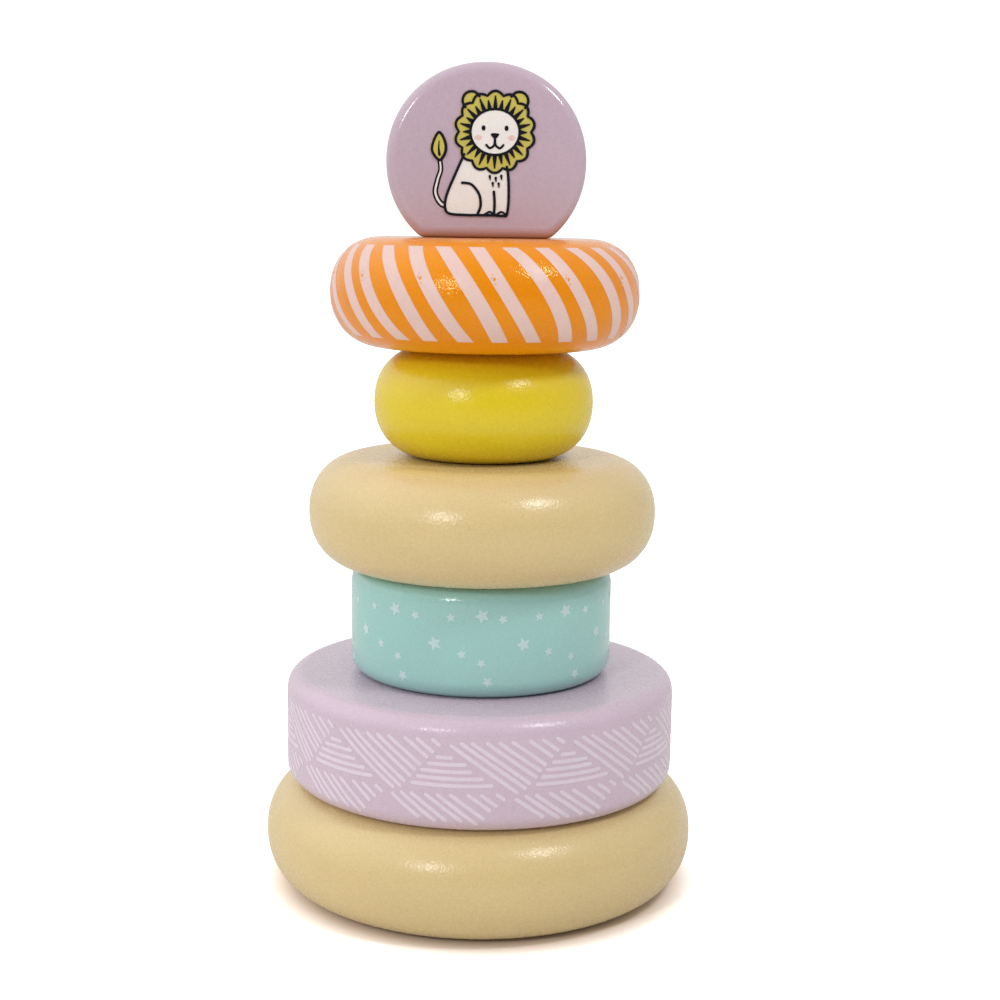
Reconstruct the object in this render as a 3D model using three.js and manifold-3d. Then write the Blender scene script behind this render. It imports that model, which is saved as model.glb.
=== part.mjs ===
import * as THREE from 'three';
import { mergeVertices } from 'three/addons/utils/BufferGeometryUtils.js';
import Module from 'manifold-3d';

// Wooden stacking ring toy: a round base with an upright post, five loose rings of
// different diameters threaded on the post, and an upright disc as the topper.
// Millimetres, +Z up, origin at the centre of the underside of the base.
// The picture side of the topper faces -Y.

// Driving dimensions
const BOARD_THICKNESS = 27; // of the base and of all rings but the orange one
const ORANGE_THICKNESS = 26.5; // sanded down a little more than the others
const BASE_DIAMETER = 107.5;
const LAVENDER_DIAMETER = 97;
const MINT_DIAMETER = 65;
const SAND_DIAMETER = 86;
const YELLOW_DIAMETER = 54;
const ORANGE_DIAMETER = 75.5;
const TOPPER_WIDTH = 47.5;
const TOPPER_RISE = 23.1; // from its widest level up to the top
const TOPPER_DROP = 17.85; // from its widest level down to the flat underside
const TOPPER_THICKNESS = 22;
const TOPPER_EDGE = 2.5; // rounding all round both faces of the topper
const POST_DIAMETER = 12;
const POST_END_EDGE = 1.5; // chamfer on the free end of the post
const RING_BORE_DIAMETER = 15; // the rings drop freely over the post
const BORE_EDGE = 0.8; // chamfer at both mouths of every bore
const TOPPER_BORE_DIAMETER = 13;
const TOPPER_BORE_DEPTH = 21;
const POST_IN_TOPPER = 20; // length of post inside the topper
const SOCKET_FLOOR = 7; // wood left under the post in the base
const GLUE_GAP = 0.3; // between the post and the wall of its socket

// Shape of the edges. A full round side is a superellipse over the whole thickness.
const ROUND_WIDTH = 12.6; // how far the full round reaches in from the rim
const ROUND_POWER = 2.15; // 2 would be a true ellipse
const ROUND_STEPS = 12;
const FILLET_RADIUS = 4.2; // on the two rings with straight sides
const FILLET_STEPS = 4;
const TOPPER_POWER = 2.05; // the outline of the topper is nearly an ellipse
const TOPPER_STEPS = 48;
const TURNED_SEGMENTS = 48; // facets round every turned piece

// Colours of the paint and of the bare wood
const COLOURS = {
  sand: 0xd8bf90,
  lavender: 0xc8bac6,
  mint: 0x93bfb8,
  yellow: 0xdcc23c,
  orange: 0xe2851d,
  bareWood: 0xd9bd8c,
};

const wasm = await Module();
wasm.setup();

// A manifold solid from a closed geometry, and a geometry back from a solid
function toSolid(geometry) {
  const bare = geometry.clone();
  bare.deleteAttribute('normal');
  bare.deleteAttribute('uv');
  const merged = mergeVertices(bare, 1e-4);
  const mesh = new wasm.Mesh({
    numProp: 3,
    vertProperties: new Float32Array(merged.attributes.position.array),
    triVerts: new Uint32Array(merged.index.array),
  });
  return new wasm.Manifold(mesh);
}

function toGeometry(solid) {
  const mesh = solid.getMesh();
  const geometry = new THREE.BufferGeometry();
  geometry.setAttribute('position', new THREE.BufferAttribute(mesh.vertProperties, 3));
  geometry.setIndex(new THREE.BufferAttribute(mesh.triVerts, 1));
  geometry.computeVertexNormals();
  return geometry;
}

// Turned pieces: a profile of [radius, height] points, from the bottom up on the outside
function turned(profile) {
  const points = profile.map(([radius, height]) => new THREE.Vector2(radius, height));
  const geometry = new THREE.LatheGeometry(points, TURNED_SEGMENTS);
  geometry.rotateX(Math.PI / 2);
  return geometry;
}

// Outer side of a piece whose whole edge is rounded
function roundSide(radius, thickness) {
  const half = thickness / 2;
  const points = [];
  for (let i = 0; i <= ROUND_STEPS; i++) {
    const angle = Math.PI * (i / ROUND_STEPS - 0.5);
    const across = Math.pow(Math.max(Math.cos(angle), 0), 2 / ROUND_POWER);
    const along = Math.sign(angle) * Math.pow(Math.abs(Math.sin(angle)), 2 / ROUND_POWER);
    points.push([radius - ROUND_WIDTH * (1 - across), half + half * along]);
  }
  return points;
}

// Outer side of a piece with a straight side and a fillet at the top and the bottom
function straightSide(radius, thickness) {
  const points = [];
  for (const end of [0, 1]) {
    const centre = end ? thickness - FILLET_RADIUS : FILLET_RADIUS;
    for (let i = 0; i <= FILLET_STEPS; i++) {
      const angle = (Math.PI / 2) * (i / FILLET_STEPS + end - 1);
      points.push([
        radius - FILLET_RADIUS * (1 - Math.cos(angle)),
        centre + FILLET_RADIUS * Math.sin(angle),
      ]);
    }
  }
  return points;
}

// A loose ring: its side, and a bore with a small chamfer at each mouth
function ring(diameter, thickness, side) {
  const bore = RING_BORE_DIAMETER / 2;
  const profile = [
    [bore + BORE_EDGE, 0],
    ...side(diameter / 2, thickness),
    [bore + BORE_EDGE, thickness],
    [bore, thickness - BORE_EDGE],
    [bore, BORE_EDGE],
    [bore + BORE_EDGE, 0],
  ];
  return turned(profile);
}

// The base: a full round disc with a blind socket in its top for the post
function base() {
  const socket = POST_DIAMETER / 2 + GLUE_GAP;
  const profile = [
    [0, 0],
    ...roundSide(BASE_DIAMETER / 2, BOARD_THICKNESS),
    [socket, BOARD_THICKNESS],
    [socket, SOCKET_FLOOR],
    [0, SOCKET_FLOOR],
  ];
  return turned(profile);
}

// The post: a dowel that stands on the floor of the socket
function post(top) {
  const radius = POST_DIAMETER / 2;
  const profile = [
    [0, SOCKET_FLOOR],
    [radius, SOCKET_FLOOR],
    [radius, top - POST_END_EDGE],
    [radius - POST_END_EDGE, top],
    [0, top],
  ];
  return turned(profile);
}

// Outline of the topper: a slightly squared disc that is cut off flat at the bottom
function topperOutline() {
  const halfWidth = TOPPER_WIDTH / 2;
  const start = -Math.asin(Math.pow(TOPPER_DROP / TOPPER_RISE, TOPPER_POWER / 2));
  const points = [];
  for (let i = 0; i <= TOPPER_STEPS; i++) {
    const angle = start + ((Math.PI - 2 * start) * i) / TOPPER_STEPS;
    const across = Math.pow(Math.abs(Math.cos(angle)), 2 / TOPPER_POWER);
    const up = Math.pow(Math.abs(Math.sin(angle)), 2 / TOPPER_POWER);
    points.push(new THREE.Vector2(
      halfWidth * across * Math.sign(Math.cos(angle)),
      TOPPER_DROP + TOPPER_RISE * up * Math.sign(Math.sin(angle)),
    ));
  }
  return new THREE.Shape(points);
}

// The topper: a thick disc on edge with a flat underside and a blind bore up into it.
// Its own origin is at the centre of the flat underside.
function topper() {
  const disc = new THREE.ExtrudeGeometry(topperOutline(), {
    depth: TOPPER_THICKNESS - 2 * TOPPER_EDGE,
    bevelThickness: TOPPER_EDGE,
    bevelSize: TOPPER_EDGE,
    bevelOffset: -TOPPER_EDGE,
    bevelSegments: 3,
  });
  disc.translate(0, 0, TOPPER_EDGE - TOPPER_THICKNESS / 2);
  disc.rotateX(Math.PI / 2);

  const bore = TOPPER_BORE_DIAMETER / 2;
  const below = -1; // the cutter starts a little below the flat underside
  const cutter = turned([
    [0, below],
    [bore + BORE_EDGE - below, below],
    [bore, BORE_EDGE],
    [bore, TOPPER_BORE_DEPTH],
    [0, TOPPER_BORE_DEPTH],
  ]);
  return toGeometry(toSolid(disc).subtract(toSolid(cutter)));
}

// Named mesh with its paint or bare wood
function piece(name, geometry, colour, height, roughness = 0.45) {
  const material = new THREE.MeshStandardMaterial({ color: colour, roughness, metalness: 0 });
  const mesh = new THREE.Mesh(geometry, material);
  mesh.name = name;
  mesh.position.z = height;
  return mesh;
}

// Rings from the bottom up
const RINGS = [
  ['lavender_ring', LAVENDER_DIAMETER, BOARD_THICKNESS, straightSide, COLOURS.lavender],
  ['mint_ring', MINT_DIAMETER, BOARD_THICKNESS, straightSide, COLOURS.mint],
  ['sand_ring', SAND_DIAMETER, BOARD_THICKNESS, roundSide, COLOURS.sand],
  ['yellow_ring', YELLOW_DIAMETER, BOARD_THICKNESS, roundSide, COLOURS.yellow],
  ['orange_ring', ORANGE_DIAMETER, ORANGE_THICKNESS, roundSide, COLOURS.orange],
];

const toy = new THREE.Group();
toy.add(piece('base', base(), COLOURS.sand, 0));

let stackTop = BOARD_THICKNESS;
for (const [name, diameter, thickness, side, colour] of RINGS) {
  toy.add(piece(name, ring(diameter, thickness, side), colour, stackTop));
  stackTop += thickness;
}
toy.add(piece('topper', topper(), COLOURS.lavender, stackTop));
toy.add(piece('post', post(stackTop + POST_IN_TOPPER), COLOURS.bareWood, 0, 0.7));

export default toy;
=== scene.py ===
"""Looks of a wooden stacking ring toy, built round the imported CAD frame.

Every turned piece gets a fine surface of revolution and a painted-wood material. The
printed stripes, stars, hatching and the picture on the topper are thin closed films of
ink that lie on the paint. Lengths are in metres in Blender and in millimetres in the
prints' own layouts.
"""

import math
import random

import bpy
import numpy as np
from mathutils import Matrix, Vector
from mathutils.geometry import delaunay_2d_cdt


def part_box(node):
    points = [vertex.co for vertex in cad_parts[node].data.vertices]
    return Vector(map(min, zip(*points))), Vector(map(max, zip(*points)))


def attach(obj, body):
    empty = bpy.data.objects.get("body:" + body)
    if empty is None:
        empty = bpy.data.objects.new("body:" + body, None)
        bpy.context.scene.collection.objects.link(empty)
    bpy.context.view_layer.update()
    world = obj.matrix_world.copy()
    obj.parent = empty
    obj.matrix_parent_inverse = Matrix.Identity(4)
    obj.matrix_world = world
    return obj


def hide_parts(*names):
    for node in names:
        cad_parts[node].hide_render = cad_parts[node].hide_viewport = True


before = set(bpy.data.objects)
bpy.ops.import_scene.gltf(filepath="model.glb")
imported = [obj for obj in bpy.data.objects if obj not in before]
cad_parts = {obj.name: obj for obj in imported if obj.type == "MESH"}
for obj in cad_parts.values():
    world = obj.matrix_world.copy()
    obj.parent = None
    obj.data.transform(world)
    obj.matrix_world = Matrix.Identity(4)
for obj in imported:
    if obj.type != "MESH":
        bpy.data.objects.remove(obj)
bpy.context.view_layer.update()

MM = 0.001

# Shape of the edges, as in the CAD model
ROUND_WIDTH = 12.6 * MM
ROUND_POWER = 2.15
ROUND_STEPS = 44
FILLET_RADIUS = 4.2 * MM
FILLET_STEPS = 14
BORE_RADIUS = 7.5 * MM
BORE_EDGE = 0.8 * MM
BORE_EDGE_STEPS = 5
SOCKET_RADIUS = 6.3 * MM
SOCKET_EDGE = 0.1 * MM  # height of the slight easing of its mouth
TOPPER_EDGE = 2.5 * MM
TOPPER_EDGE_STEPS = 8
TOPPER_DROP = 17.85 * MM  # from its widest level down to the flat underside
TOPPER_POWER = 2.05
TOPPER_STEPS = 200
TOPPER_CORNER = 0.9 * MM  # height of the rounding between its outline and the underside
TOPPER_CORNER_STEPS = 10
TOPPER_BORE_RADIUS = 6.5 * MM
TOPPER_BORE_DEPTH = 21 * MM
POST_EDGE = 1.5 * MM
TURNED_SEGMENTS = 256
FLAT_SUPPORT = 0.4 * MM  # a loop this far inside a flat keeps its shading flat

# Ink films
FILM_LIFT = 0.05 * MM  # how far the ink stands above the paint
FILM_SINK = 0.04 * MM  # how far its underside lies under the paint
FILM_STAGGER = 0.002 * MM  # keeps the tops of patches that overlap out of one plane
FILM_LEVELS = 5  # how many staggered heights there are
FILM_STEP = 0.8  # mm between the points of a film
DETAIL_STEP = 0.4  # the same in small shapes
LAYER_STEP = 0.03 * MM  # between the layers of a print


# ---------------------------------------------------------------------------
# Materials. Scales of noise are in cycles per metre.

SWELL_SCALE = 420.0  # broad unevenness of the coats of paint
SWELL_DEPTH = 0.03 * MM
PEEL_SCALE = 1700.0  # orange peel
INK_PEEL_DEPTH = 0.05 * MM
FIBRE_DEPTH = 0.008 * MM  # of the wood grain that shows through the paint
DUST_DEPTH = 0.02 * MM
WOOD_RELIEF = 0.03 * MM
WHITE = (1.0, 1.0, 1.0)


class Nodes:
    """A material's node tree with short calls for the nodes used here."""

    def __init__(self, name):
        self.material = bpy.data.materials.new(name)
        self.material.use_nodes = True
        self.tree = self.material.node_tree
        self.shader = self.tree.nodes["Principled BSDF"]
        self.place = self.add("ShaderNodeTexCoord").outputs["Object"]

    def add(self, kind, **settings):
        node = self.tree.nodes.new(kind)
        for key, value in settings.items():
            setattr(node, key, value)
        return node

    def link(self, source, target):
        self.tree.links.new(source, target)

    def stretched(self, scale):
        """Object coordinates scaled by one factor per axis."""
        node = self.add("ShaderNodeMapping")
        node.inputs["Scale"].default_value = scale
        self.link(self.place, node.inputs["Vector"])
        return node.outputs["Vector"]

    def noise(self, scale, detail=2.0, place=None, distortion=0.0):
        node = self.add("ShaderNodeTexNoise")
        node.inputs["Scale"].default_value = scale
        node.inputs["Detail"].default_value = detail
        node.inputs["Distortion"].default_value = distortion
        self.link(place or self.place, node.inputs["Vector"])
        return node.outputs["Fac"]

    def ramp(self, value, low, high, from_low=0.0, from_high=1.0):
        node = self.add("ShaderNodeMapRange")
        node.inputs["From Min"].default_value = from_low
        node.inputs["From Max"].default_value = from_high
        node.inputs["To Min"].default_value = low
        node.inputs["To Max"].default_value = high
        self.link(value, node.inputs["Value"])
        return node.outputs["Result"]

    def mix(self, amount, first, second):
        """Colour between two colours; each is a colour or another node's output."""
        node = self.add("ShaderNodeMix", data_type="RGBA")
        self.link(amount, node.inputs["Factor"])
        for value, index in ((first, 6), (second, 7)):
            if isinstance(value, tuple):
                node.inputs[index].default_value = (*value, 1.0)
            else:
                self.link(value, node.inputs[index])
        return node.outputs[2]

    def math(self, operation, first, second=None):
        node = self.add("ShaderNodeMath", operation=operation)
        for value, index in ((first, 0), (second, 1)):
            if value is None:
                continue
            if isinstance(value, float):
                node.inputs[index].default_value = value
            else:
                self.link(value, node.inputs[index])
        return node.outputs[0]

    def bump(self, height, distance, below=None):
        node = self.add("ShaderNodeBump")
        node.inputs["Distance"].default_value = distance
        self.link(height, node.inputs["Height"])
        if below is not None:
            self.link(below, node.inputs["Normal"])
        return node.outputs["Normal"]


def specks(nodes, scale, size, share):
    """1 in a few small round spots, 0 elsewhere. Share is the part of the cells with one."""
    cells = nodes.add("ShaderNodeTexVoronoi")
    cells.inputs["Scale"].default_value = scale
    nodes.link(nodes.place, cells.inputs["Vector"])
    near = nodes.math("LESS_THAN", cells.outputs["Distance"], size)
    parts = nodes.add("ShaderNodeSeparateColor")
    nodes.link(cells.outputs["Color"], parts.inputs["Color"])
    chosen = nodes.math("LESS_THAN", parts.outputs["Red"], share)
    return nodes.math("MULTIPLY", near, chosen)


def shade(colour, factor):
    """The colour made lighter or darker."""
    return tuple(min(1.0, channel * factor) for channel in colour)


def painted(name, colour, roughness=0.25, peel_depth=0.07, speck_share=0.03, gleam=WHITE):
    """Satin paint over fine-grained wood: faint mottling, orange peel, grain and dust.

    The depth of the orange peel is in mm, and gleam is the colour of the highlights."""
    nodes = Nodes(name)
    shader = nodes.shader
    cloud = nodes.noise(70.0, detail=2.0)
    fine = nodes.noise(2400.0, detail=2.0)
    grain = nodes.noise(1.0, detail=3.0, place=nodes.stretched((1700.0, 240.0, 900.0)))
    mottling = nodes.ramp(cloud, 0.0, 1.0, 0.3, 0.7)
    tone = nodes.mix(mottling, shade(colour, 0.985), shade(colour, 1.015))
    tone = nodes.mix(nodes.ramp(fine, 0.0, 0.3, 0.4, 0.7), tone, shade(colour, 0.72))
    tone = nodes.mix(nodes.ramp(grain, 0.0, 0.12, 0.45, 0.75), tone, shade(colour, 0.86))
    dust = specks(nodes, scale=140.0, size=0.028, share=speck_share)
    tone = nodes.mix(dust, tone, shade(colour, 0.12))
    nodes.link(tone, shader.inputs["Base Color"])
    shader.inputs["Specular Tint"].default_value = (*gleam, 1.0)
    rough = nodes.ramp(nodes.noise(600.0), roughness - 0.04, roughness + 0.05, 0.3, 0.7)
    nodes.link(rough, shader.inputs["Roughness"])
    swell = nodes.bump(nodes.noise(SWELL_SCALE, detail=1.0), SWELL_DEPTH)
    fibres = nodes.bump(grain, FIBRE_DEPTH, swell)
    peel = nodes.bump(nodes.noise(PEEL_SCALE, detail=1.5), peel_depth * MM, fibres)
    pits = nodes.bump(dust, DUST_DEPTH, peel)
    nodes.link(pits, shader.inputs["Normal"])
    return nodes.material


def printed(name, colour, roughness=0.42, gloss=0.5):
    """Screen-printed ink: slightly uneven, with the peel of the paint under it."""
    nodes = Nodes(name)
    shader = nodes.shader
    cloud = nodes.noise(260.0, detail=3.0)
    fine = nodes.noise(2600.0, detail=2.0)
    mottling = nodes.ramp(cloud, 0.0, 1.0, 0.3, 0.7)
    tone = nodes.mix(mottling, shade(colour, 0.97), shade(colour, 1.02))
    tone = nodes.mix(nodes.ramp(fine, 0.0, 0.3, 0.4, 0.7), tone, shade(colour, 0.74))
    nodes.link(tone, shader.inputs["Base Color"])
    rough = nodes.ramp(nodes.noise(500.0), roughness - 0.05, roughness + 0.06, 0.3, 0.7)
    nodes.link(rough, shader.inputs["Roughness"])
    shader.inputs["Specular IOR Level"].default_value = gloss
    swell = nodes.bump(nodes.noise(SWELL_SCALE, detail=1.0), SWELL_DEPTH)
    peel = nodes.bump(nodes.noise(PEEL_SCALE, detail=1.5), INK_PEEL_DEPTH, swell)
    nodes.link(peel, shader.inputs["Normal"])
    return nodes.material


def bare_wood(name, light, dark):
    """Unpainted close-grained hardwood with its grain along Z, sanded and unsealed."""
    nodes = Nodes(name)
    shader = nodes.shader
    along_bands = nodes.stretched((260.0, 260.0, 9.0))
    bands = nodes.noise(1.0, detail=3.0, place=along_bands, distortion=0.6)
    fibres = nodes.noise(1.0, detail=4.0, place=nodes.stretched((2600.0, 2600.0, 90.0)))
    pores = nodes.noise(1.0, detail=1.0, place=nodes.stretched((4200.0, 4200.0, 330.0)))
    tone = nodes.mix(nodes.ramp(bands, 0.0, 1.0, 0.35, 0.65), light, dark)
    tone = nodes.mix(nodes.ramp(fibres, 0.0, 0.5, 0.4, 0.7), tone, shade(dark, 0.82))
    tone = nodes.mix(nodes.ramp(pores, 0.0, 0.7, 0.68, 0.76), tone, shade(dark, 0.45))
    nodes.link(tone, shader.inputs["Base Color"])
    nodes.link(nodes.ramp(fibres, 0.5, 0.68, 0.3, 0.7), shader.inputs["Roughness"])
    ridge = nodes.bump(fibres, WOOD_RELIEF)
    pits = nodes.bump(nodes.ramp(pores, 1.0, 0.0, 0.66, 0.76), WOOD_RELIEF, ridge)
    nodes.link(pits, shader.inputs["Normal"])
    return nodes.material


PAINT = {
    "sand_paint": painted("sand_paint", (0.707, 0.543, 0.264)),
    "lavender_paint": painted("lavender_paint", (0.63, 0.50, 0.60), speck_share=0.08),
    "topper_paint": painted("topper_paint", (0.532, 0.408, 0.487), 0.12, 0.006),
    "mint_paint": painted("mint_paint", (0.345, 0.62, 0.585), 0.16, 0.04),
    "yellow_paint": painted("yellow_paint", (0.765, 0.60, 0.013)),
    "orange_paint": painted(
        "orange_paint", (0.82, 0.26, 0.003), 0.115, 0.11, gleam=(1.0, 0.86, 0.45)
    ),
}
BARE_WOOD = bare_wood("bare_wood", (0.66, 0.47, 0.26), (0.52, 0.33, 0.16))
INK = {
    "blush_print": printed("blush_print", (0.78, 0.545, 0.495)),
    "star_print": printed("star_print", (0.55, 0.72, 0.735)),
    "hatch_print": printed("hatch_print", (0.75, 0.65, 0.74)),
    "cream_print": printed("cream_print", (0.83, 0.79, 0.76)),
    "mustard_print": printed("mustard_print", (0.56, 0.47, 0.085)),
    "ink_print": printed("ink_print", (0.004, 0.004, 0.009), roughness=0.5, gloss=0.15),
}


# ---------------------------------------------------------------------------
# Turned pieces


def superellipse_side(radius, low, high):
    """Profile of a fully rounded edge, from the underside up to the top face."""
    half = (high - low) / 2
    points = []
    for i in range(ROUND_STEPS + 1):
        angle = math.pi * (i / ROUND_STEPS - 0.5)
        across = max(math.cos(angle), 0.0) ** (2 / ROUND_POWER)
        along = math.copysign(abs(math.sin(angle)) ** (2 / ROUND_POWER), angle)
        points.append((radius - ROUND_WIDTH * (1 - across), low + half * (1 + along)))
    return points


def straight_side(radius, low, high):
    """Profile of a straight side with a fillet at the bottom and at the top."""
    points = []
    for centre, start in ((low + FILLET_RADIUS, -90), (high - FILLET_RADIUS, 0)):
        for i in range(FILLET_STEPS + 1):
            angle = math.radians(start + 90 * i / FILLET_STEPS)
            across = FILLET_RADIUS * (1 - math.cos(angle))
            points.append((radius - across, centre + FILLET_RADIUS * math.sin(angle)))
    return points


def bore_wall(low, high):
    """Profile of a bore from its upper mouth down to its lower one, with eased mouths."""
    points = []
    for centre, start in ((high - BORE_EDGE, 90), (low + BORE_EDGE, 180)):
        for i in range(BORE_EDGE_STEPS + 1):
            angle = math.radians(start + 90 * i / BORE_EDGE_STEPS)
            x = BORE_RADIUS + BORE_EDGE + BORE_EDGE * math.cos(angle)
            points.append((x, centre + BORE_EDGE * math.sin(angle)))
    return points


def flat_between(start, end):
    """Two support points on a flat face, close to its inner and outer edge."""
    (r0, z), (r1, _) = start, end
    step = math.copysign(FLAT_SUPPORT, r1 - r0)
    return [(r0 + step, z), (r1 - step, z)]


def ring_profile(side, radius, low, high):
    """Closed profile of a ring: its outer side, top face, bore and underside."""
    outer = side(radius, low, high)
    bore = bore_wall(low, high)
    top = flat_between(outer[-1], bore[0])
    bottom = flat_between(bore[-1], outer[0])
    return outer + top + bore + bottom


def mesh_object(name, vertices, faces, materials, face_materials=None):
    """A smooth-shaded object, with one material index per face if they differ."""
    mesh = bpy.data.meshes.new(name)
    mesh.from_pydata(vertices, [], faces)
    for material in materials:
        mesh.materials.append(material)
    if face_materials is not None:
        mesh.polygons.foreach_set("material_index", face_materials)
    mesh.shade_smooth()
    mesh.validate()
    obj = bpy.data.objects.new(name, mesh)
    bpy.context.scene.collection.objects.link(obj)
    return obj


def turned(name, profile, materials, closed=True, bare=lambda radius, height: False):
    """Closed surface of revolution. An open profile starts and ends on the axis. Bare says
    from its middle point whether a face gets the second material."""
    vertices = []
    rows = []
    for radius, height in profile:
        if radius < 1e-9:
            rows.append([len(vertices)] * TURNED_SEGMENTS)
            vertices.append((0.0, 0.0, height))
            continue
        rows.append(range(len(vertices), len(vertices) + TURNED_SEGMENTS))
        for j in range(TURNED_SEGMENTS):
            angle = 2 * math.pi * j / TURNED_SEGMENTS
            vertices.append((radius * math.sin(angle), -radius * math.cos(angle), height))
    faces = []
    face_materials = []
    count = len(profile)
    for i in range(count if closed else count - 1):
        lower = rows[i]
        upper = rows[(i + 1) % count]
        middle = [(a + b) / 2 for a, b in zip(profile[i], profile[(i + 1) % count])]
        material = 1 if bare(*middle) else 0
        for j in range(TURNED_SEGMENTS):
            k = (j + 1) % TURNED_SEGMENTS
            corners = [lower[j], lower[k], upper[k], upper[j]]
            faces.append(tuple(dict.fromkeys(corners)))
            face_materials.append(material)
    return mesh_object(name, vertices, faces, materials, face_materials)


def finish_piece(obj, body, slot, *nodes):
    """Lets a piece ride on its body and hides the nodes it stands for. Its slot is not used."""
    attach(obj, body)
    if nodes:
        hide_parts(*nodes)
    return obj


def extent(node):
    """Radius, lowest and highest point of a turned node."""
    low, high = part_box(node)
    return (high[0] - low[0]) / 2, low[2], high[2]


def in_bore(radius, height):
    """Whether a point of a ring is on the unpainted wall of its bore."""
    return radius < BORE_RADIUS + 0.02 * MM


def make_ring(node, side, slot):
    radius, low, high = extent(node)
    profile = ring_profile(side, radius, low, high)
    obj = turned(f"{node}_turned", profile, [PAINT[slot], BARE_WOOD], bare=in_bore)
    return finish_piece(obj, node, slot, node)


def make_base():
    radius, low, high = extent("base")
    floor = extent("post")[1]
    outer = superellipse_side(radius, low, high)
    profile = [(0.0, low), (outer[0][0] - FLAT_SUPPORT, low)]
    profile += outer
    profile += [(outer[-1][0] - FLAT_SUPPORT, high), (SOCKET_RADIUS + FLAT_SUPPORT, high)]
    profile += [(SOCKET_RADIUS, high - SOCKET_EDGE), (SOCKET_RADIUS, floor), (0.0, floor)]
    obj = turned("base_turned", profile, [PAINT["sand_paint"]], closed=False)
    return finish_piece(obj, "base", "sand_paint", "base")


def make_post():
    radius, low, high = extent("post")
    profile = [(0.0, low), (radius - FLAT_SUPPORT, low), (radius, low + FLAT_SUPPORT)]
    profile.append((radius, high - POST_EDGE - FLAT_SUPPORT))
    for i in range(BORE_EDGE_STEPS + 1):
        angle = math.radians(90 * i / BORE_EDGE_STEPS)
        across = POST_EDGE * (1 - math.cos(angle))
        profile.append((radius - across, high - POST_EDGE * (1 - math.sin(angle))))
    profile += [(radius - POST_EDGE - FLAT_SUPPORT, high), (0.0, high)]
    obj = turned("post_dowel", profile, [BARE_WOOD], closed=False)
    return finish_piece(obj, "base", "bare_wood", "post")


# ---------------------------------------------------------------------------
# The topper


def topper_outline(half, low, high):
    """Slightly squared disc with a flat underside, as points and outward normals."""
    centre = low + TOPPER_DROP
    rise = high - centre
    lowest = -math.asin(((TOPPER_DROP - TOPPER_CORNER) / rise) ** (TOPPER_POWER / 2))
    points = []
    for i in range(TOPPER_STEPS + 1):
        angle = lowest + (math.pi - 2 * lowest) * i / TOPPER_STEPS
        across, up = math.cos(angle), math.sin(angle)
        x = half * math.copysign(abs(across) ** (2 / TOPPER_POWER), across)
        z = rise * math.copysign(abs(up) ** (2 / TOPPER_POWER), up)
        steep_x = math.copysign(abs(x / half) ** (TOPPER_POWER - 1), x) / half
        steep_z = math.copysign(abs(z / rise) ** (TOPPER_POWER - 1), z) / rise
        size = math.hypot(steep_x, steep_z)
        points.append((x, centre + z, steep_x / size, steep_z / size))
    left = corner_arc(points[-1], low)
    right = [(-x, z, -across, up) for x, z, across, up in reversed(left)]
    return points + left + right


def corner_arc(start, low):
    """Round corner between the end of the outline and the flat underside."""
    x, z, across, up = start
    radius = (z - low) / (1 + up)
    first = math.atan2(up, across) % (2 * math.pi)
    points = []
    for i in range(1, TOPPER_CORNER_STEPS + 1):
        angle = first + (1.5 * math.pi - first) * i / TOPPER_CORNER_STEPS
        turn_x, turn_z = math.cos(angle), math.sin(angle)
        place = (x + radius * (turn_x - across), z + radius * (turn_z - up))
        points.append((*place, turn_x, turn_z))
    return points


def make_topper():
    """The topper's disc, ring by ring from its front face over the edge to its back."""
    low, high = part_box("topper")
    half = (high[1] - low[1]) / 2
    outline = topper_outline((high[0] - low[0]) / 2, low[2], high[2])
    count = len(outline)
    vertices = []
    rings = []

    def add_ring(inset, depth):
        rings.append(len(vertices))
        for x, z, across, up in outline:
            vertices.append((x - across * inset, depth, z - up * inset))

    add_ring(TOPPER_EDGE + FLAT_SUPPORT, -half)
    for side in (-1, 1):
        for i in range(TOPPER_EDGE_STEPS + 1):
            share = i / TOPPER_EDGE_STEPS
            angle = math.radians(90 * (share if side < 0 else 1 - share))
            inset = TOPPER_EDGE * (1 - math.sin(angle))
            add_ring(inset, side * (half - TOPPER_EDGE * (1 - math.cos(angle))))
    add_ring(TOPPER_EDGE + FLAT_SUPPORT, half)
    faces = []
    for lower, upper in zip(rings, rings[1:]):
        for j in range(count):
            k = (j + 1) % count
            faces.append((lower + k, lower + j, upper + j, upper + k))
    faces.append(tuple(range(rings[0], rings[0] + count)))
    faces.append(tuple(reversed(range(rings[-1], rings[-1] + count))))
    obj = mesh_object("topper_disc", vertices, faces, [PAINT["topper_paint"], BARE_WOOD])
    drill(obj, low[2])
    return finish_piece(obj, "topper", "topper_paint", "topper")


def drill(obj, mouth):
    """Cuts the blind bore up into the topper, with an eased mouth."""
    radius = TOPPER_BORE_RADIUS
    spare = 1 * MM  # how far below the topper the drill starts
    profile = [
        (0.0, mouth - spare),
        (radius + BORE_EDGE + spare, mouth - spare),
        (radius, mouth + BORE_EDGE),
        (radius, mouth + TOPPER_BORE_DEPTH),
        (0.0, mouth + TOPPER_BORE_DEPTH),
    ]
    cutter = turned("drill", profile, [BARE_WOOD], closed=False)
    modifier = obj.modifiers.new("bore", "BOOLEAN")
    modifier.operation = "DIFFERENCE"
    modifier.solver = "EXACT"
    modifier.object = cutter
    depsgraph = bpy.context.evaluated_depsgraph_get()
    cut = bpy.data.meshes.new_from_object(obj.evaluated_get(depsgraph))
    obj.modifiers.clear()
    obj.data = cut
    bpy.data.objects.remove(cutter)
    cut.set_sharp_from_angle(angle=math.radians(35))


# ---------------------------------------------------------------------------
# Ink films. Outlines are lists of (u, v) in millimetres on a surface that is unrolled.


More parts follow.
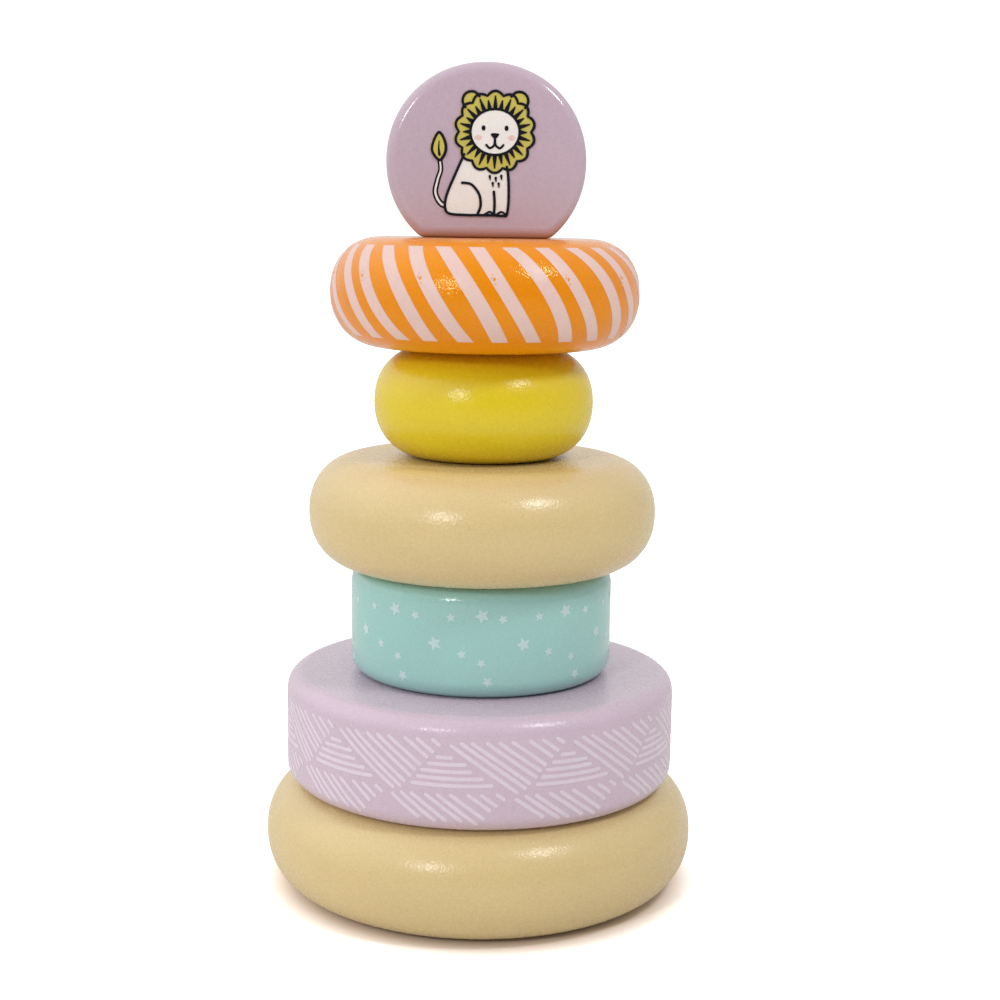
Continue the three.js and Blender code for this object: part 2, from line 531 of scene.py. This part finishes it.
def resample(outline, step):
    """Points along a closed outline, no further apart than step."""
    points = []
    for (x0, y0), (x1, y1) in zip(outline, outline[1:] + outline[:1]):
        count = max(1, math.ceil(math.hypot(x1 - x0, y1 - y0) / step))
        for i in range(count):
            points.append((x0 + (x1 - x0) * i / count, y0 + (y1 - y0) * i / count))
    return points


def inside(outline, x, y):
    """Whether a point lies inside an outline."""
    hit = False
    for (x0, y0), (x1, y1) in zip(outline, outline[1:] + outline[:1]):
        if (y0 > y) != (y1 > y) and x < x0 + (y - y0) * (x1 - x0) / (y1 - y0):
            hit = not hit
    return hit


def left_turned(points, triangles):
    """The triangles, each with its corners counter-clockwise."""
    result = []
    for a, b, c in triangles:
        (ax, ay), (bx, by), (cx, cy) = (points[i] for i in (a, b, c))
        turn = (bx - ax) * (cy - ay) - (by - ay) * (cx - ax)
        result.append((a, b, c) if turn > 0 else (a, c, b))
    return result


def filled(outline, step=FILM_STEP):
    """Triangles that fill an outline, as points and index triples."""
    border = resample(outline, step)
    xs, ys = zip(*border)
    points = list(border)
    rows = int((max(ys) - min(ys)) / step) + 1
    columns = int((max(xs) - min(xs)) / step) + 1
    for i in range(rows + 1):
        for j in range(columns + 1):
            x = min(xs) + (j + 0.5 * (i % 2)) * step
            y = min(ys) + i * step
            if inside(border, x, y):
                points.append((x, y))
    loop = [list(range(len(border)))]
    result = delaunay_2d_cdt([Vector(p) for p in points], [], loop, 1, 1e-5)
    points = [tuple(p) for p in result[0]]
    return points, left_turned(points, result[2])


def film(name, patches, surface, material, body, slot, lift=FILM_LIFT):
    """One closed thin solid per patch. surface(u, v) gives a point and its normal."""
    vertices = []
    faces = []
    normals = []
    for number, (points, triangles) in enumerate(patches):
        first = len(vertices)
        total = len(points)
        spots = [surface(u, v) for u, v in points]
        height = lift + number % FILM_LEVELS * FILM_STAGGER
        vertices += [place + normal * height for place, normal in spots]
        vertices += [place - normal * FILM_SINK for place, normal in spots]
        edges = set()
        for a, b, c in triangles:
            edges |= {(a, b), (b, c), (c, a)}
            faces.append((first + a, first + b, first + c))
            normals += [spots[i][1] for i in (a, b, c)]
            faces.append((first + total + a, first + total + c, first + total + b))
            normals += [-spots[i][1] for i in (a, c, b)]
        for a, b in sorted(edges):
            if (b, a) in edges:
                continue
            corners = (first + b, first + a, first + total + a, first + total + b)
            faces.append(corners)
            along = vertices[first + b] - vertices[first + a]
            out = along.cross(spots[a][1]).normalized()
            normals += [out] * 4
    mesh = bpy.data.meshes.new(name)
    mesh.from_pydata(vertices, [], faces)
    mesh.materials.append(material)
    mesh.shade_smooth()
    mesh.normals_split_custom_set(normals)
    obj = bpy.data.objects.new(name, mesh)
    bpy.context.scene.collection.objects.link(obj)
    return finish_piece(obj, body, slot)


def side_surface(profile):
    """Surface of a turned side. u is the distance round it in millimetres at its widest
    radius, and v is the distance up along the profile from its lower end."""
    points = np.array(profile)
    steps = np.hypot(*np.diff(points, axis=0).T)
    length = np.concatenate([[0.0], np.cumsum(steps)]) / MM
    tangent = np.gradient(points, axis=0)
    widest = points[:, 0].max() / MM

    def surface(u, v):
        angle = u / widest
        radius = np.interp(v, length, points[:, 0])
        height = np.interp(v, length, points[:, 1])
        rise = np.interp(v, length, tangent[:, 1])
        run = np.interp(v, length, tangent[:, 0])
        across, up = np.array([rise, -run]) / math.hypot(rise, run)
        round_x, round_y = math.sin(angle), -math.cos(angle)
        place = Vector((radius * round_x, radius * round_y, height))
        return place, Vector((across * round_x, across * round_y, up))

    return surface, widest, length[-1]


def face_surface(node):
    """Flat front face of the topper, with u to the right and v up from its widest level."""
    low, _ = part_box(node)
    centre = low[2] + TOPPER_DROP

    def surface(u, v):
        return Vector((u * MM, low[1], centre + v * MM)), Vector((0, -1, 0))

    return surface


def smooth(points, closed=False, steps=8):
    """A smooth curve through the points."""
    count = len(points)
    curve = []
    for i in range(count if closed else count - 1):
        near = [i - 1, i, i + 1, i + 2]
        if closed:
            near = [k % count for k in near]
        else:
            near = [min(max(k, 0), count - 1) for k in near]
        for step in range(steps):
            t = step / steps
            weights = (
                (-t + 2 * t**2 - t**3) / 2,
                1 - (5 * t**2 - 3 * t**3) / 2,
                (t + 4 * t**2 - 3 * t**3) / 2,
                (t**3 - t**2) / 2,
            )
            x = sum(weight * points[k][0] for weight, k in zip(weights, near))
            y = sum(weight * points[k][1] for weight, k in zip(weights, near))
            curve.append((x, y))
    if not closed:
        curve.append(points[-1])
    return curve


def ribbon(path, width, end_width=None, closed=False, rng=None):
    """Stroke along a path with round ends, as points and triangles. With rng, its width
    is slightly uneven."""
    end_width = width if end_width is None else end_width
    count = len(path)
    points = []
    headings = []
    for i, (x, y) in enumerate(path):
        before = path[i - 1] if closed or i > 0 else path[0]
        after = path[(i + 1) % count] if closed or i + 1 < count else path[-1]
        heading = math.atan2(after[1] - before[1], after[0] - before[0])
        half = (width + (end_width - width) * i / (count - 1)) / 2
        if rng:
            half *= rng.uniform(0.93, 1.07)
        points.append((x - half * math.sin(heading), y + half * math.cos(heading)))
        points.append((x + half * math.sin(heading), y - half * math.cos(heading)))
        headings.append(heading)
    triangles = []
    for i in range(count if closed else count - 1):
        left, right = 2 * i, 2 * i + 1
        next_left = 2 * ((i + 1) % count)
        next_right = next_left + 1
        triangles += [(left, right, next_right), (left, next_right, next_left)]
    if not closed:
        last = 2 * count - 2
        ends = (
            (path[-1], headings[-1], end_width, last + 1, last),
            (path[0], headings[0] + math.pi, width, 0, 1),
        )
        for (x, y), heading, size, start, stop in ends:
            cap = [start]
            for i in range(1, 6):
                angle = heading - math.pi / 2 + math.pi * i / 6
                cap.append(len(points))
                points.append((x + size / 2 * math.cos(angle), y + size / 2 * math.sin(angle)))
            cap.append(stop)
            triangles += [(cap[0], cap[i], cap[i + 1]) for i in range(1, len(cap) - 1)]
    return points, left_turned(points, triangles)


def bowed(start, end, bow, step=1.0):
    """Points of a line from start to end that bows to its left by the given distance."""
    (x0, y0), (x1, y1) = start, end
    length = math.hypot(x1 - x0, y1 - y0)
    dx, dy = (x1 - x0) / length, (y1 - y0) / length
    count = max(2, round(length / step))
    points = []
    for i in range(count + 1):
        t = i / count
        sag = bow * 4 * t * (1 - t)
        points.append((x0 + dx * length * t - dy * sag, y0 + dy * length * t + dx * sag))
    return points


def disc(x, y, width, height=None, turn=0.0, steps=20):
    """Outline of an ellipse that is turned by the given degrees."""
    height = height or width
    tilt = math.radians(turn)
    points = []
    for i in range(steps):
        angle = 2 * math.pi * i / steps
        across, up = width / 2 * math.cos(angle), height / 2 * math.sin(angle)
        points.append((
            x + across * math.cos(tilt) - up * math.sin(tilt),
            y + across * math.sin(tilt) + up * math.cos(tilt),
        ))
    return points


# Stripes on the orange ring: angles in degrees round, heights in mm up along the side.
# The front ones are spaced unevenly. The others fill the rest of the ring evenly.
STRIPE_COUNT = 26
FRONT_STRIPES = (-72.4, -59.3, -46.7, -32.6, -20.3, -6.4, 7.0, 20.7, 34.9, 49.6, 63.0)
STRIPE_WIDTH = 6.5  # at the upper end
STRIPE_TAPER = 0.4  # how much narrower the lower end is
STRIPE_LEAN = 23.4  # how far a stripe moves round from its upper to its lower end
STRIPE_BOWS = ((1.8, 1.6), (-0.1, -0.7))  # bow of the left and right edge of two in turn
STRIPE_BOTTOM = 9.8
STRIPE_TOP = 34.0
STRIPE_STEPS = 24
CHIP_HEIGHT = 25.2  # of the little gaps in the print of every second stripe
CHIPS = (  # mm from the stripe's left edge, mm up from that height, mm across, mm high
    (0.75, 1.0, 0.25, 0.3),
    (1.2, -0.1, 0.6, 0.85),
    (1.5, -1.2, 0.28, 0.4),
    (0.6, 0.2, 0.2, 0.6),
)
CHIP_TURN = -25  # degrees
CHIP_STEP = 0.3


def stripe_starts(rng):
    """Angles of the upper left corners of all the stripes."""
    starts = list(FRONT_STRIPES)
    more = STRIPE_COUNT - len(starts)
    pitch = (360 + starts[0] - starts[-1]) / (more + 1)
    for i in range(1, more + 1):
        starts.append(FRONT_STRIPES[-1] + pitch * i + rng.uniform(-0.5, 0.5))
    return starts


def stripe_edge(start, lean, bow, share):
    """Angle of a stripe's edge. Share is 0 at the lower end and 1 at the upper one."""
    return start + lean * (1 - share) + bow * 4 * share * (1 - share)


def make_stripes():
    """Slanting stripes round the orange ring, with paint showing in little gaps."""
    rng = random.Random(24)
    radius, low, high = extent("orange_ring")
    surface, widest, _ = side_surface(superellipse_side(radius, low, high))
    stripes = []
    chips = []
    for i, start in enumerate(stripe_starts(rng)):
        width = STRIPE_WIDTH * rng.uniform(0.97, 1.03)
        lean = STRIPE_LEAN + rng.uniform(-0.5, 0.5)
        left_bow, right_bow = STRIPE_BOWS[i % 2]
        right = (start + width, lean - STRIPE_TAPER, right_bow)
        left = (start, lean, left_bow)
        border = [(*right, step) for step in range(STRIPE_STEPS + 1)]
        border += [(*left, step) for step in range(STRIPE_STEPS, -1, -1)]
        outline = []
        for edge, edge_lean, bow, step in border:
            share = step / STRIPE_STEPS
            angle = stripe_edge(edge, edge_lean, bow, share)
            v = STRIPE_BOTTOM + (STRIPE_TOP - STRIPE_BOTTOM) * share
            outline.append((math.radians(angle) * widest, v))
        stripes.append(filled(outline))
        if i % 2 == 0:
            continue
        share = (CHIP_HEIGHT - STRIPE_BOTTOM) / (STRIPE_TOP - STRIPE_BOTTOM)
        edge = math.radians(stripe_edge(*left, share)) * widest
        for across, up, chip_width, chip_height in CHIPS:
            place = (edge + across, CHIP_HEIGHT + up)
            spot = disc(*place, chip_width, chip_height, turn=CHIP_TURN, steps=10)
            chips.append(filled(spot, CHIP_STEP))
    ring = "orange_ring"
    film("orange_ring_stripes", stripes, surface, INK["blush_print"], ring, "blush_print")
    lift = FILM_LIFT + LAYER_STEP
    film("orange_ring_chips", chips, surface, PAINT["orange_paint"], ring, "orange_paint", lift)


# Stars on the mint ring. Each repeat of the print starts at one of these angles, because
# the print is a little stretched on some of them.
STAR_REPEATS = (-76.7, -37.5, 0.0, 41.2, 81.0, 121.0, 161.0, 201.0, 242.0)
STAR_MOTIF = (  # degrees round, mm up along the side, mm across, degrees turned
    (0.9, 11.6, 2.1, 30),
    (3.5, 7.1, 2.45, 34),
    (9.7, 22.2, 2.15, 26),
    (18.6, 15.9, 3.2, 18),
    (25.5, 22.4, 2.1, 6),
    (30.2, 13.7, 2.1, 14),
    (38.6, 23.0, 3.2, 24),
)


def star(u, v, size, turn):
    """Outline of a plump five-pointed star with slightly blunt tips."""
    points = []
    radius = size / 1.9
    for i in range(5):
        tip = math.radians(90 + turn + 72 * i)
        for swing, reach in ((-7, 0.93), (0, 1.0), (7, 0.93), (36, 0.52)):
            angle = tip + math.radians(swing)
            across, up = reach * math.cos(angle), reach * math.sin(angle)
            points.append((u + radius * across, v + radius * up))
    return points


def make_stars():
    """The stars round the mint ring."""
    radius, low, high = extent("mint_ring")
    surface, widest, _ = side_surface(straight_side(radius, low, high))
    patches = []
    for start in STAR_REPEATS:
        for angle, height, size, turn in STAR_MOTIF:
            across = math.radians(start + angle) * widest
            patches.append(filled(star(across, height, size, turn)))
    film("mint_ring_stars", patches, surface, INK["star_print"], "mint_ring", "star_print")


# Hatching on the lavender ring, in mm round from the first slanting stroke of a repeat
# and up along the side. Ten repeats leave a seam at the back.
HATCH_REPEATS = 10
HATCH_PITCH = 29.05
HATCH_FIRST = -5.85 - 4 * HATCH_PITCH
HATCH_WIDTH = 0.9
HATCH_SLANT = -36.3  # degrees
LEVEL_STROKES = ((-3.2, -0.1), (-5.3, 3.1), (-6.8, 4.3), (-7.9, 7.0), (-9.2, 9.2))
LEVEL_TOP = 20.6
LEVEL_PITCH = 1.62
SLANT_STARTS = (0.0, 2.3, 4.8, 8.2, 11.0, 14.0, 18.1, 21.1, 24.7)
UPPER_TOP = 24.2
UPPER_LENGTHS = (18.6, 18.2, 16.3, 14.0, 11.7, 9.5, 6.5, 4.5, 1.8)
LOWER_TOP = 11.6
LOWER_SHIFT = -14.1
LOWER_LENGTHS = (7.8, 9.9, 9.9, 10.1, 11.1, 9.2, 5.9, 4.1, 1.8)


def hatch_strokes(rng):
    """Strokes of one repeat: a level group between an upper and a lower slanting one."""
    strokes = []
    for i, (left, right) in enumerate(LEVEL_STROKES):
        height = LEVEL_TOP - LEVEL_PITCH * i
        strokes.append(((left, height), (right, height + rng.uniform(-0.15, 0.1)), -0.05 * i))
    groups = ((0.0, UPPER_TOP, UPPER_LENGTHS), (LOWER_SHIFT, LOWER_TOP, LOWER_LENGTHS))
    for shift, top, lengths in groups:
        for i, (start, length) in enumerate(zip(SLANT_STARTS, lengths)):
            slant = math.radians(HATCH_SLANT + rng.uniform(-1.0, 1.0))
            rise = -0.8 if i == 0 else 0.025 * (start - 10)
            x, y = start + shift, top + rise
            end = (x + length * math.cos(slant), y + length * math.sin(slant))
            strokes.append(((x, y), end, rng.uniform(-0.1, 0.1)))
    return strokes


def make_hatching():
    """The hatched triangles round the lavender ring."""
    rng = random.Random(9)
    radius, low, high = extent("lavender_ring")
    surface, _, _ = side_surface(straight_side(radius, low, high))
    patches = []
    for i in range(HATCH_REPEATS):
        shift = HATCH_FIRST + HATCH_PITCH * i
        for (x0, y0), (x1, y1), bow in hatch_strokes(rng):
            path = bowed((shift + x0, y0), (shift + x1, y1), bow)
            patches.append(ribbon(path, HATCH_WIDTH, rng=rng))
    material = INK["hatch_print"]
    film("lavender_ring_hatching", patches, surface, material, "lavender_ring", "hatch_print")


# Picture on the topper: a sitting lion cub, in mm to the right of the disc's centre and
# above it. The colours lie under the dark lines and a little off them, but the tail is a
# dark stroke with a cream one on it.
LINE = 0.62
HEAD = (2.0, 6.8)
MANE_RADIUS = 8.5
MANE_PETALS = 14
PETAL_HEIGHT = 0.95
MANE_TICKS = ((0.0, 6.3, 8.3), (0.5, 6.2, 7.4))  # petals to the left, inner and outer end
FACE = (11.6, 10.6)  # across and up
EAR = (5.6, 7.2)  # from the centre of the head
CHEST_TICKS = ((0.9, -3.4), (2.3, -3.8), (3.6, -3.3), (1.6, -5.0), (3.0, -5.1))
BACK = ((-5.2, 1.6), (-7.4, -3.4), (-9.2, -7.8), (-9.6, -10.8), (-8.6, -12.2), (-5.0, -12.5))
BREAST = (
    (-1.4, -12.5),
    (1.6, -12.5),
    (4.2, -12.6),
    (5.0, -12.3),
    (5.4, -9.0),
    (5.3, -4.0),
    (4.9, -1.2),
)
HAUNCH = ((-5.6, -5.0), (-3.4, -5.4), (-1.6, -7.6), (-1.2, -10.2), (-1.9, -12.3))
TAIL = ((-8.4, -10.6), (-10.6, -9.9), (-11.9, -7.4), (-11.4, -4.4), (-10.7, -2.0), (-11.0, 0.6))
TUFT = ((-11.0, 0.2), (-12.7, 2.2), (-12.4, 4.6), (-11.1, 6.6), (-9.7, 4.4), (-9.6, 2.0))


def mane_outline(radius):
    """Scalloped outline of the mane."""
    points = []
    for i in range(MANE_PETALS * 8):
        angle = 2 * math.pi * i / (MANE_PETALS * 8)
        reach = radius + PETAL_HEIGHT * abs(math.sin(angle * MANE_PETALS / 2))
        points.append((HEAD[0] + reach * math.cos(angle), HEAD[1] + reach * math.sin(angle)))
    return points


def shifted(outline, right, up):
    """The outline moved to the right and up."""
    return [(x + right, y + up) for x, y in outline]


def ear_arc(side):
    """Visible arc of an ear above the mane."""
    x, y = HEAD[0] + side * EAR[0], HEAD[1] + EAR[1]
    radius = 2.1
    points = []
    for step in range(-100, 101, 20):
        angle = math.radians(90 - side * 38 + step)
        points.append((x + radius * math.cos(angle), y + radius * math.sin(angle)))
    return points


def lion_lines():
    """The dark strokes of the picture."""
    x, y = HEAD
    left_lip = ((-2.0, -3.0), (-1.2, -3.7), (-0.3, -3.2), (0.0, -2.4))
    right_lip = ((0.0, -2.4), (0.3, -3.2), (1.2, -3.7), (2.0, -3.0))
    nose = ((-1.0, -0.4), (1.0, -0.4), (0.0, -1.6))
    lines = [
        ribbon(smooth(BACK + BREAST), LINE),
        ribbon(smooth(HAUNCH), LINE),
        ribbon(smooth(((1.9, -7.0), (2.1, -9.6), (2.0, -12.2))), LINE),
        ribbon(smooth(((-0.2, -12.3), (0.9, -11.7), (1.9, -12.2))), LINE * 0.8),
        ribbon(smooth(((2.6, -12.3), (3.7, -11.7), (4.7, -12.2))), LINE * 0.8),
        ribbon(smooth(TUFT, closed=True), LINE, closed=True),
        ribbon(smooth(((-11.0, 1.4), (-11.2, 3.0), (-11.1, 4.6))), LINE, 0.2),
        ribbon(mane_outline(MANE_RADIUS), LINE, closed=True),
        ribbon(disc(x, y, *FACE, steps=48), LINE, closed=True),
        ribbon(ear_arc(-1), LINE),
        ribbon(ear_arc(1), LINE),
        ribbon(smooth(shifted(left_lip, x, y)), LINE * 0.9),
        ribbon(smooth(shifted(right_lip, x, y)), LINE * 0.9),
        ribbon(((x, y - 1.2), (x, y - 2.4)), LINE),
        filled(smooth(shifted(nose, x, y), closed=True), DETAIL_STEP),
    ]
    for side in (-1, 1):
        lines.append(filled(disc(x + side * 2.7, y + 0.9, 0.95, 1.25), DETAIL_STEP))
    for across, up in CHEST_TICKS:
        lines.append(ribbon(((across, up), (across + 0.1, up - 0.9)), LINE, 0.2))
    for i in range(MANE_PETALS):
        for swing, start, stop in MANE_TICKS:
            angle = 2 * math.pi * (i + 0.5 + swing) / MANE_PETALS
            spots = []
            for reach in (start, stop):
                across = reach * math.cos(angle)
                up = reach * math.sin(angle) * (1 if reach > 7 else 0.94)
                spots.append((x + across, y + up))
            lines.append(ribbon(spots, LINE * 1.6, 0.3))
    return lines


def make_picture():
    """The picture, layer by layer from the lowest ink to the dark lines."""
    surface = face_surface("topper")
    ears = []
    cheeks = []
    for side in (-1, 1):
        ear = disc(HEAD[0] + side * EAR[0], HEAD[1] + EAR[1], 4.2)
        ears.append(shifted(ear, -0.3, 0.1))
        cheek = disc(HEAD[0] + side * 3.9, HEAD[1] - 1.3, 1.7, 1.2)
        cheeks.append(filled(cheek, DETAIL_STEP))
    body = smooth(BACK + BREAST) + [(4.0, 4.0), (-2.0, 4.0)]
    tail = smooth(TAIL)
    layers = [
        ("tail", "ink_print", [ribbon(tail, 1.5, 1.2)]),
        ("tail_core", "cream_print", [ribbon(tail, 0.55, 0.35)]),
        ("body", "cream_print", [filled(shifted(body, -0.25, -0.15))]),
        ("mane", "mustard_print", [filled(shifted(mane_outline(MANE_RADIUS), -0.45, 0.1))]),
        ("ears", "mustard_print", [filled(ear) for ear in ears]),
        ("face", "cream_print", [filled(disc(*HEAD, *FACE, steps=48))]),
        ("tuft", "mustard_print", [filled(shifted(smooth(TUFT, closed=True), -0.4, 0.15))]),
        ("cheeks", "blush_print", cheeks),
        ("lines", "ink_print", lion_lines()),
    ]
    for number, (name, slot, patches) in enumerate(layers):
        lift = FILM_LIFT + LAYER_STEP * number
        film(f"topper_{name}", patches, surface, INK[slot], "topper", slot, lift)


# ---------------------------------------------------------------------------
# Scene

FLOOR_HALF = 6.0
FLOOR_DROP = 0.05 * MM
FLOOR_COLOUR = (0.82, 0.8, 0.77)  # to all rays but the camera's
FLOOR_TINT = (1.75, 1.73, 1.74)  # to the camera, which over-exposes it
FLOOR_PAINTED_SHADOW = (0.72, 0.56, 0.47)  # painted contact shadow: the colour that the camera sees close to the rounded edge of the base
# how far the painted contact shadow reaches out from the base
PAINTED_SHADOW_REACH = 7 * MM
SURROUNDINGS = (  # direction that the light comes from, and its strength
    ((0.0, 0.0, 1.0), 0.76),
    ((0.0, -0.75, 0.66), 0.42),
    ((-0.8, -0.1, 0.6), 2.35),
    ((0.8, -0.1, 0.6), 1.0),
    ((0.0, -1.0, 0.0), 0.0),
    ((-0.78, -0.62, 0.0), 0.5),
    ((0.78, -0.62, 0.0), 0.0),
    ((-1.0, 0.3, 0.0), 0.66),
    ((1.0, 0.3, 0.0), 0.48),
    ((0.0, 1.0, 0.3), 0.9),
)
SURROUNDINGS_FOCUS = 5.0  # how quickly one strength goes over into the next
BACKDROP = 1.2  # strength that the camera sees
LAMPS = (  # name, place, size, power in watts
    ("left_lamp", (-0.302, -0.622, 0.392), 0.09, 0.95),
    ("right_lamp", (0.224, -0.215, 0.42), 0.07, 0.5),
)
LAMP_TARGET = (0.0, 0.0, 0.1)
CAMERA_PLACE = (4.374 * MM, -429.04 * MM, 166.90 * MM)
CAMERA_LENS = 62.74  # mm, with a sensor 36 mm wide
CAMERA_PITCH = 9.28  # degrees down
CAMERA_ROLL = 0.802  # degrees


def make_floor():
    """Pale floor. To the camera it is over-exposed, so that only contact shadows show. Close to
    the base these are partly real shade and partly a painted shadow that darkens its colour.
    """
    turns = ((-1, -1), (1, -1), (1, 1), (-1, 1))
    corners = [(x * FLOOR_HALF, y * FLOOR_HALF, -FLOOR_DROP) for x, y in turns]
    nodes = Nodes("floor")
    surface = nodes.add("ShaderNodeBsdfDiffuse")
    # painted shadow: the colour the camera sees goes over to the painted shadow colour where
    # the base hems the floor in
    painted_shadow_ao = nodes.add("ShaderNodeAmbientOcclusion", samples=16)
    painted_shadow_ao.inputs["Distance"].default_value = PAINTED_SHADOW_REACH
    shown = nodes.mix(painted_shadow_ao.outputs["AO"], FLOOR_PAINTED_SHADOW, FLOOR_TINT)
    seen = nodes.add("ShaderNodeLightPath").outputs["Is Camera Ray"]
    nodes.link(nodes.mix(seen, FLOOR_COLOUR, shown), surface.inputs["Color"])
    nodes.link(surface.outputs["BSDF"], nodes.tree.nodes["Material Output"].inputs["Surface"])
    mesh_object("floor", corners, [(0, 1, 2, 3)], [nodes.material])


def make_lamps():
    """Two small square lamps that give the compact highlights."""
    for name, place, size, power in LAMPS:
        data = bpy.data.lights.new(name, "AREA")
        data.shape = "SQUARE"
        data.size = size
        data.energy = power
        lamp = bpy.data.objects.new(name, data)
        lamp.location = place
        direction = Vector(LAMP_TARGET) - lamp.location
        lamp.rotation_euler = direction.to_track_quat("-Z", "Y").to_euler()
        bpy.context.scene.collection.objects.link(lamp)


def make_world():
    """White studio, brightest on the upper left and dark where the camera stands. Its
    strength goes over smoothly from one of the named directions to the next."""
    world = bpy.data.worlds.new("studio")
    world.use_nodes = True
    tree = world.node_tree
    background = tree.nodes["Background"]
    background.inputs["Color"].default_value = (1.0, 1.0, 1.0, 1.0)
    direction = tree.nodes.new("ShaderNodeTexCoord").outputs["Generated"]

    def calculate(operation, first, second=None):
        node = tree.nodes.new("ShaderNodeMath")
        node.operation = operation
        tree.links.new(first, node.inputs[0])
        if isinstance(second, float):
            node.inputs[1].default_value = second
        elif second is not None:
            tree.links.new(second, node.inputs[1])
        return node.outputs[0]

    total = glow = None
    for side, strength in SURROUNDINGS:
        towards = tree.nodes.new("ShaderNodeVectorMath")
        towards.operation = "DOT_PRODUCT"
        tree.links.new(direction, towards.inputs[0])
        towards.inputs[1].default_value = Vector(side).normalized()
        near = calculate("MULTIPLY", towards.outputs["Value"], SURROUNDINGS_FOCUS)
        share = calculate("EXPONENT", near)
        light = calculate("MULTIPLY", share, strength)
        total = share if total is None else calculate("ADD", total, share)
        glow = light if glow is None else calculate("ADD", glow, light)
    mean = calculate("DIVIDE", glow, total)
    seen = tree.nodes.new("ShaderNodeLightPath").outputs["Is Camera Ray"]
    strength = tree.nodes.new("ShaderNodeMix")
    tree.links.new(seen, strength.inputs["Factor"])
    tree.links.new(mean, strength.inputs["A"])
    strength.inputs["B"].default_value = BACKDROP
    tree.links.new(strength.outputs["Result"], background.inputs["Strength"])
    bpy.context.scene.world = world


def make_camera():
    data = bpy.data.cameras.new("camera")
    data.sensor_width = 36.0
    data.lens = CAMERA_LENS
    data.clip_start = 0.01
    camera = bpy.data.objects.new("camera", data)
    camera.location = CAMERA_PLACE
    level = Matrix.Rotation(math.pi / 2 - math.radians(CAMERA_PITCH), 3, "X")
    roll = Matrix.Rotation(math.radians(CAMERA_ROLL), 3, "Z")
    camera.rotation_euler = (level @ roll).to_euler()
    bpy.context.scene.collection.objects.link(camera)
    bpy.context.scene.camera = camera


make_base()
make_post()
make_ring("lavender_ring", straight_side, "lavender_paint")
make_ring("mint_ring", straight_side, "mint_paint")
make_ring("sand_ring", superellipse_side, "sand_paint")
make_ring("yellow_ring", superellipse_side, "yellow_paint")
make_ring("orange_ring", superellipse_side, "orange_paint")
make_topper()
make_stripes()
make_stars()
make_hatching()
make_picture()
make_floor()
make_world()
make_lamps()
make_camera()
bpy.context.scene.view_settings.view_transform = "Standard"
